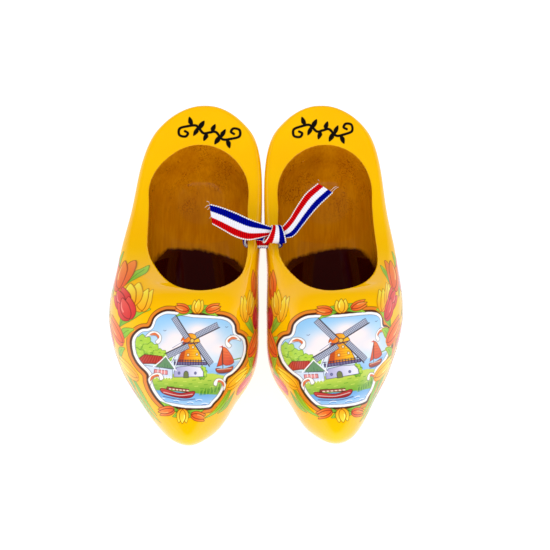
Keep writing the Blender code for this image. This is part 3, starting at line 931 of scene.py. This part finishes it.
# ---- Materials ----------------------------------------------------------------------------------
def srgb(red, green, blue):
    """A colour from 0 to 255, given as a screen shows it."""
    return (*linear_light(np.array((red, green, blue)) / 255).tolist(), 1.0)


def new_material(name):
    made = bpy.data.materials.new(name)
    made.use_nodes = True
    return made, made.node_tree, made.node_tree.nodes["Principled BSDF"]


def connect(tree, node, values):
    """Sets a node's inputs, or links them where a value is another node's output."""
    for name, value in values.items():
        if hasattr(value, "is_linked"):
            tree.links.new(value, node.inputs[name])
        else:
            node.inputs[name].default_value = value


def new_node(tree, kind, values):
    made = tree.nodes.new("ShaderNode" + kind)
    connect(tree, made, values)
    return made


def attribute(tree, name):
    """The outputs of a node that reads what the mesh stores under name."""
    found = new_node(tree, "Attribute", {})
    found.attribute_name = name
    return found.outputs


def noise(tree, scale, stretch=(1, 1, 1), detail=2.0):
    """Noise fixed to the object, with features about 1 / scale metres across."""
    place = new_node(tree, "TexCoord", {}).outputs["Object"]
    squeezed = new_node(tree, "Mapping", {"Scale": stretch, "Vector": place}).outputs["Vector"]
    settings = {"Scale": scale, "Detail": detail, "Vector": squeezed}
    return new_node(tree, "TexNoise", settings).outputs["Fac"]


def sum_up(tree, operation, *values):
    """One Math node, fed with numbers or sockets."""
    made = tree.nodes.new("ShaderNodeMath")
    made.operation = operation
    connect(tree, made, dict(enumerate(values)))
    return made.outputs[0]


def ramped(tree, value, start, end):
    """From 0 at start to 1 at end."""
    settings = {"Value": value, "From Min": start, "From Max": end}
    return new_node(tree, "MapRange", settings).outputs["Result"]


def mixed(tree, share, a, b):
    made = tree.nodes.new("ShaderNodeMix")
    made.data_type = "RGBA"
    connect(tree, made, {"Factor": share, 6: a, 7: b})
    return made.outputs[2]


def yellow_paint(tree):
    cloudy = ramped(tree, noise(tree, 40), 0.35, 0.65)
    return mixed(tree, cloudy, srgb(255, 196, 0), srgb(255, 190, 0))


VARNISH = {
    "Roughness": 0.5, "Specular IOR Level": 0.0, "Coat Weight": 1.0, "Coat Roughness": 0.07,
}
CLOTH = {"Roughness": 0.6, "Specular IOR Level": 0.0}


def painted_wood():
    made, tree, shader = new_material("painted_wood")
    ragged = sum_up(tree, "MULTIPLY_ADD", noise(tree, 1500), 0.3, -0.15)
    edge = sum_up(tree, "ADD", attribute(tree, "outside")["Fac"], ragged)
    grain = ramped(tree, noise(tree, 900, (1, 0.06, 0.5), 4), 0.38, 0.62)
    broad = ramped(tree, noise(tree, 150, (1, 0.25, 0.5)), 0.35, 0.65)
    wood = mixed(tree, grain, srgb(206, 126, 0), srgb(218, 142, 3))
    wood = mixed(tree, sum_up(tree, "MULTIPLY", broad, 0.45), wood, srgb(184, 102, 0))
    flecks = ramped(tree, noise(tree, 1500, (1, 0.7, 1)), 0.48, 0.66)
    patchy = ramped(tree, noise(tree, 90), 0.45, 0.6)
    rough = sum_up(tree, "MULTIPLY", flecks, patchy)
    rough = sum_up(tree, "MULTIPLY", rough, attribute(tree, "end_grain")["Fac"])
    wood = mixed(tree, rough, wood, srgb(160, 84, 4))
    # Painted shade: past the torn step the toe hollow turns near-black red, for the shade deep under the
    # instep; the noise makes the step's edge ragged.
    torn = sum_up(tree, "MULTIPLY_ADD", noise(tree, 500, (1, 0.5, 1), 5), 2.0, -1.0)
    toe_shade = sum_up(tree, "ADD", attribute(tree, "toe_hollow_shade")["Fac"], torn)
    wood = mixed(tree, ramped(tree, toe_shade, -0.7, 0.8), wood, srgb(58, 4, 0))
    colour = mixed(tree, ramped(tree, edge, -0.12, 0.12), wood, yellow_paint(tree))
    connect(tree, shader, {"Base Color": colour, **VARNISH})
    return made


def printed_decor():
    made, tree, shader = new_material("printed_decor")
    cover, ink = attribute(tree, "cover")["Fac"], attribute(tree, "ink")["Color"]
    connect(tree, shader, {"Base Color": mixed(tree, cover, yellow_paint(tree), ink), **VARNISH})
    return made


def woven_ribbon():
    made, tree, shader = new_material("woven_ribbon")
    connect(tree, shader, {"Base Color": attribute(tree, "ink")["Color"], **CLOTH})
    return made


# ---- The clogs ----------------------------------------------------------------------------------
# The torn step's outline, as x and y: past it, the toe hollow is painted with shade.
STEP_EDGE = ((6.0, 13.0), (13.0, 17.5), (21.0, 22.4), (30.0, 25.4), (40.0, 24.4), (50.0, 19.0))


def beyond_step(p):
    """How far a place is past the torn step where the heel's hollow meets the toe's."""
    x, y, z = p.T
    edge = hermite(*zip(*STEP_EDGE), np.clip(x, STEP_EDGE[0][0], STEP_EDGE[-1][0]))
    up_wall = np.maximum(z - 21, 0)
    return (edge - y - 1.1 * up_wall) / (1 + 0.5 * up_wall)


# The landscape's and the vine's places in the view from above: centre, turn and stretch.
PRINT_PLACES = {
    LEFT_BODY: (((33.6, -16.9), 8.5, 1.05), ((27.2, 84.0), -6, 1.05)),
    RIGHT_BODY: (((-30.0, -17.0), 0, 0.925), ((-24.4, 83.0), -12, 1.08)),
}


def make_clogs():
    points, quads = clog_points()
    normals = unit(slope(wood_distance, points))
    depth = np.clip(-distance_above(points, FINE_SADDLE), 0, 2)
    numbers = {
        "outside": hollow_distance(points) - depth,
        # how far past the torn step, where the toe hollow's painted shade begins
        "toe_hollow_shade": beyond_step(points),
        "end_grain": np.clip((points[:, 1] - 40) / 10, 0, 1),
    }
    paint, decor = painted_wood(), printed_decor()
    scene, vine = cartouche(), heel_vine()
    outer = spray((-14, -72), (42, 16), OUTER_LEAVES, OUTER_TULIPS)
    inner = spray((-14, -76), (36, 10), INNER_LEAVES, INNER_TULIPS)
    for body, sign in ((LEFT_BODY, 1), (RIGHT_BODY, -1)):
        name = "carved_" + body
        there, turned_normals = hand_finished(points, sign), finished_normals(points, normals, sign)
        if sign < 0:
            there, turned_normals = mirror_x(there), mirror_x(turned_normals)
        made = new_mesh(name, there, quads[:, ::sign])
        made.data.normals_split_custom_set_from_vertices(turned_normals.tolist())
        for attribute_name, values in numbers.items():
            add_numbers(made, attribute_name, values)
        made.data.materials.append(paint)
        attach(made, body)
        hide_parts("clog_left" if sign > 0 else "clog_right")
        picture, growth = (seen_from_above(*place, sign) for place in PRINT_PLACES[body])
        make_print("picture_" + body, scene, picture, sign, body, decor)
        make_print("heel_vine_" + body, vine, growth, sign, body, decor)
        make_print("outer_spray_" + body, outer, wrapped_on_side(True), sign, body, decor)
        make_print("inner_spray_" + body, inner, wrapped_on_side(False), sign, body, decor)


# ---- The ribbon ---------------------------------------------------------------------------------
RIBBON_THICKNESS = 0.35
THREAD_RADIUS = 0.14
RIB_PITCH = 1.0
RIBBON_RED, RIBBON_BLUE = (228, 6, 14), (0, 8, 156)
RIBBON_WHITE = (240, 240, 250)
LEFT_TAIL_UPPER = (
    (-23.5, 26.3, 53.5), (-17.8, 25.0, 52.6), (-11.4, 22.6, 51.8), (-5.6, 19.8, 51.2),
    (-0.2, 17.5, 51.2), (4.2, 15.4, 51.5),
)
LEFT_TAIL_LOWER = (
    (-22.2, 18.3, 49.5), (-17.8, 16.2, 48.2), (-12.4, 13.4, 47.0), (-7.0, 11.7, 46.8),
    (-2.2, 12.0, 47.6), (3.0, 12.6, 49.4),
)
RIGHT_TAIL_LEFT = (
    (6.6, 13.6, 50.8), (11.5, 19.6, 51.5), (13.9, 23.7, 52.3), (16.4, 27.8, 53.2),
    (19.4, 31.8, 54.2), (24.4, 36.0, 55.2),
)
RIGHT_TAIL_RIGHT = (
    (9.0, 11.4, 48.8), (13.5, 12.6, 48.6), (17.2, 17.2, 49.2), (20.6, 21.6, 50.2),
    (24.8, 26.4, 51.6), (31.0, 32.4, 53.0),
)


def lengths_along(path):
    return np.concatenate(([0], np.cumsum(np.linalg.norm(np.diff(path, axis=0), axis=1))))


def resampled(rows, along, at):
    """The rows that lie at certain lengths along a path."""
    return np.stack([np.interp(at, along, column) for column in rows.T], axis=1)


def even(points, spacing):
    """A smooth curve through points, at even spacing, and its length."""
    curve = flowing(points, False, 24)
    along = lengths_along(curve)
    at = np.linspace(0, along[-1], max(int(along[-1] / spacing), 2))
    return resampled(curve, along, at), along[-1]


def stripes(across, along, order):
    """The ribbon's colours: three stripes between white selvedges, stepped by the ribs."""
    place = across + 0.012 * np.sin(2 * math.pi * along / RIB_PITCH)
    bounds = (0.045, 0.36, 0.655, 0.955)
    colour = np.full((*across.shape, 3), 246.0)
    for k, dye in enumerate(order):
        colour[(place >= bounds[k]) & (place <= bounds[k + 1])] = dye
    groove = 0.5 - 0.5 * np.cos(2 * math.pi * along / RIB_PITCH)
    # Painted shade: the grooves between the ribs are darkened, the white stripes a little and the dyed
    # ones more.
    groove_shade = np.where(colour.min(axis=2) > 200, 0.06, 0.45)
    return colour * (1 - groove_shade * groove**2)[..., None]


def woven(name, middle, length, order, closed=False):
    """Ribbon laid along a grid of places: ribs, selvedges, a front and a back."""
    rows, columns = middle.shape[:2]
    along = np.broadcast_to((np.linspace(0, 1, rows) * length)[:, None], (rows, columns))
    across = np.broadcast_to(np.linspace(0, 1, columns)[None], (rows, columns))
    side = unit(np.gradient(middle, axis=1))
    normal = unit(np.cross(np.gradient(middle, axis=0), side))
    wave = np.cos(2 * math.pi * along / RIB_PITCH)
    edge = (across > 0.98) * 1.0 - (across < 0.02) * 1.0
    middle = middle + side * (0.14 * wave * edge)[..., None]
    lift = (RIBBON_THICKNESS / 2 + 0.07 * wave * (1 - edge**2))[..., None]
    ring = np.concatenate((middle + normal * lift, (middle - normal * lift)[:, ::-1]), axis=1)
    colour = stripes(across, along, order)
    colour = np.concatenate((colour, colour[:, ::-1]), axis=1)
    index = np.arange(rows * columns * 2).reshape(rows, columns * 2)
    low, high = (index, np.roll(index, -1, axis=0)) if closed else (index[:-1], index[1:])
    ring_faces = (low, high, np.roll(high, -1, axis=1), np.roll(low, -1, axis=1))
    faces = [np.stack(ring_faces, axis=-1).reshape(-1, 4)]
    if not closed:
        for row, flip in ((index[0], 1), (index[-1], -1)):
            front, back = row[:columns], row[::-1][:columns]
            faces.append(np.stack((front[:-1], front[1:], back[1:], back[:-1]), axis=1)[:, ::flip])
    made = new_mesh(name, ring.reshape(-1, 3), np.concatenate(faces))
    add_ink(made, colour.reshape(-1, 3) / 255)
    return made


def strip(name, one_edge, other_edge, order):
    """A flat stretch of ribbon between two edges."""
    edges, lengths = zip(*(even(edge, 0.1) for edge in (one_edge, other_edge)))
    at = np.linspace(0, 1, int(max(lengths) / 0.12))
    one, other = (resampled(edge, np.linspace(0, 1, len(edge)), at)[:, None] for edge in edges)
    across = np.linspace(0, 1, 45)[None, :, None]
    length = sum(lengths) / 2
    return woven(name, one * (1 - across) + other * across, length, order), length


LOOP_HALF_WIDTH, LOOP_LOW, LOOP_HIGH, LOOP_CORNER = 8.3, HOLE[1], 44.6, 2.4
LOOP_LEAN = 0.2  # how steeply the strand's top slants towards the toes, on its way to +X
LOOP_FOLDS = (
    (-1.5, -0.6), (1.2, -0.6), (1.6, -0.3), (-1.2, -0.05), (-1.6, 0.2), (1.2, 0.5), (1.6, 0.55),
)


def loop_places():
    """The gathered strand through both ribbon holes and over both rims, folded in three."""
    path, outwards = [], []
    reach_x, reach_z = LOOP_HALF_WIDTH - LOOP_CORNER, (LOOP_HIGH - LOOP_LOW) / 2 - LOOP_CORNER
    for k, (sx, sz) in enumerate(((1, 1), (-1, 1), (-1, -1), (1, -1))):
        for turn in np.radians(np.arange(0, 91, 10) + 90 * k):
            out = np.array((math.cos(turn), 0, math.sin(turn)))
            centre = np.array((sx * reach_x, HOLE[0], (LOOP_LOW + LOOP_HIGH) / 2 + sz * reach_z))
            path.append(centre + out * LOOP_CORNER)
            outwards.append(out)
    path, outwards = np.array(path + path[:1]), np.array(outwards + outwards[:1])
    along = lengths_along(path)
    at = np.linspace(0, along[-1], 420)[:-1]
    path, outwards = resampled(path, along, at), resampled(outwards, along, at)
    folds, _ = even(LOOP_FOLDS, 0.22)
    path[:, 1] -= LOOP_LEAN * path[:, 0] * (path[:, 2] - LOOP_LOW) / (LOOP_HIGH - LOOP_LOW)
    up = np.array((0, 1, 0)) * folds[None, :, :1]
    return path[:, None] + up + outwards[:, None] * folds[None, :, 1:], along[-1]


KNOT_CENTRE, KNOT_REACH = (5.6, 12.6, 50.4), (3.8, 3.5)
KNOT_HALF_WIDTH, KNOT_WIDER, KNOT_WIDEST_AT = 3.4, 1.5, math.radians(215)


def knot_places():
    """The band of ribbon wrapped once round the tails, wide at the front and narrow behind."""
    edges = ([], [])
    for turn in np.radians(np.arange(-60, 301, 12)):
        wide = KNOT_HALF_WIDTH + KNOT_WIDER * math.cos(turn - KNOT_WIDEST_AT)
        lean = 0.8 * math.sin(turn)
        for side, edge in zip((-1, 1), edges):
            y = KNOT_CENTRE[1] + KNOT_REACH[0] * math.cos(turn)
            z = KNOT_CENTRE[2] + KNOT_REACH[1] * math.sin(turn)
            edge.append((KNOT_CENTRE[0] + lean + side * wide, y, z))
    return edges


def threads(name, roots, ends, cloth):
    """Loose three-sided threads at a cut end."""
    points, faces = [], []
    for root, end in zip(np.array(roots, float), np.array(ends, float)):
        sag = (root + end) / 2 + np.array((0.2, 0.3, 0.4))
        spine, _ = even((root, sag, end), 0.3)
        for i, place in enumerate(spine):
            for turn in (0, 2.1, 4.2):
                points.append(place + THREAD_RADIUS * np.array((0, math.cos(turn), math.sin(turn))))
            if i:
                base = len(points) - 6
                for k in range(3):
                    faces.append((base + k, base + (k + 1) % 3, base + 3 + (k + 1) % 3, base + 3 + k))
    made = new_mesh(name, np.array(points), np.array(faces))
    add_ink(made, np.tile((0.95, 0.95, 0.94), (len(points), 1)))
    made.data.materials.append(cloth)
    return made


def make_ribbon():
    cloth = woven_ribbon()
    downwards = (RIBBON_BLUE, RIBBON_WHITE, RIBBON_RED)
    rightwards = (RIBBON_RED, RIBBON_WHITE, RIBBON_BLUE)
    left, left_length = strip("ribbon_left_end", LEFT_TAIL_UPPER, LEFT_TAIL_LOWER, downwards)
    right, right_length = strip("ribbon_right_end", RIGHT_TAIL_LEFT, RIGHT_TAIL_RIGHT, rightwards)
    knot, knot_length = strip("ribbon_wrap", *knot_places(), rightwards)
    places, loop_length = loop_places()
    loop = woven("ribbon_strand", places, loop_length, rightwards, closed=True)
    for made in (left, right, knot, loop):
        made.data.materials.append(cloth)
    left_threads = threads(
        "left_threads",
        ((-23.4, 26.2, 53.4), (-23.3, 25.6, 53.2), (-23.2, 24.8, 52.9), (-22.6, 21.0, 51.0)),
        ((-24.6, 27.2, 54.0), (-25.4, 24.6, 53.2), (-24.2, 23.6, 52.8), (-23.4, 20.4, 51.0)),
        cloth,
    )
    right_threads = threads(
        "right_threads",
        ((30.6, 32.6, 53.2), (29.8, 33.0, 53.4), (25.0, 35.8, 55.0)),
        ((33.4, 34.6, 54.2), (32.6, 34.9, 54.4), (24.4, 37.6, 55.6)),
        cloth,
    )
    for made in (left, left_threads, loop):
        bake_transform(made)
    for made in (right, right_threads, knot):
        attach(made, LEFT_BODY)
    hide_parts("ribbon_tail_left")
    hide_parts("ribbon_tail_right")
    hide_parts("ribbon_knot")
    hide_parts("ribbon_loop")


# ---- Camera, light and floor --------------------------------------------------------------------
CAMERA_DISTANCE = 750.0
CAMERA_TARGET = (5.4, 0.0, 25.0)
CAMERA_RISE = 5.7  # how far above the target it aims, up the frame
CAMERA_LENS = 109.8


def make_camera():
    data = bpy.data.cameras.new("camera")
    data.sensor_width = 36.0
    data.lens = CAMERA_LENS
    data.clip_start, data.clip_end = 0.01, 20.0
    camera = new_object("camera", data)
    back, up = Vector(VIEW_BACK), Vector(VIEW_UP)
    aim = Vector(CAMERA_TARGET) + up * CAMERA_RISE
    camera.location = (aim + back * CAMERA_DISTANCE) * MM
    camera.rotation_mode = "QUATERNION"
    camera.rotation_quaternion = (-back).to_track_quat("-Z", "Y")
    bpy.context.scene.camera = camera


def make_floor():
    bpy.ops.mesh.primitive_plane_add(size=6.0, location=(0, 0, 0))
    floor = bpy.context.object
    floor.name = "floor"
    made, tree, shader = new_material("floor")
    faint = ramped(tree, noise(tree, 3), 0.3, 0.7)
    pale = mixed(tree, faint, srgb(150, 152, 156), srgb(146, 148, 154))
    glow = {"Emission Color": (1, 1, 1, 1), "Emission Strength": 0.85}
    connect(tree, shader, {"Base Color": pale, "Roughness": 0.9, **glow})
    floor.data.materials.append(made)


WORLD_STRENGTH = 0.85
FRONT_LIGHT = (8.0, 1.5, math.radians(32), 0.6)  # watts, distance, elevation and size


def make_light():
    """A white studio whose ceiling shows dark in reflections, and whose walls show white."""
    world = bpy.data.worlds.new("studio")
    bpy.context.scene.world = world
    world.use_nodes = True
    tree = world.node_tree
    place = new_node(tree, "TexCoord", {}).outputs["Generated"]
    parts = new_node(tree, "SeparateXYZ", {0: place}).outputs
    wall = ramped(tree, parts["Z"], 0.55, 0.2)
    ray = new_node(tree, "LightPath", {}).outputs
    reflected = sum_up(tree, "MULTIPLY_ADD", wall, 0.95, 0.05)
    shown = mixed(tree, ray["Is Glossy Ray"], (1, 1, 1, 1), reflected)
    seen = sum_up(tree, "MULTIPLY_ADD", ray["Is Camera Ray"], 1 - WORLD_STRENGTH, WORLD_STRENGTH)
    connect(tree, tree.nodes["Background"], {"Color": shown, "Strength": seen})
    watts, distance_away, elevation, size = FRONT_LIGHT
    data = bpy.data.lights.new("front", "AREA")
    data.energy, data.size = watts, size
    lamp = new_object("front", data)
    away = Vector((0, -math.cos(elevation), math.sin(elevation)))
    lamp.location = away * distance_away
    lamp.rotation_mode = "QUATERNION"
    lamp.rotation_quaternion = away.to_track_quat("Z", "Y")
    lamp.visible_glossy = False
    bpy.context.scene.view_settings.view_transform = "Standard"


make_camera()
make_floor()
make_light()
make_clogs()
make_ribbon()
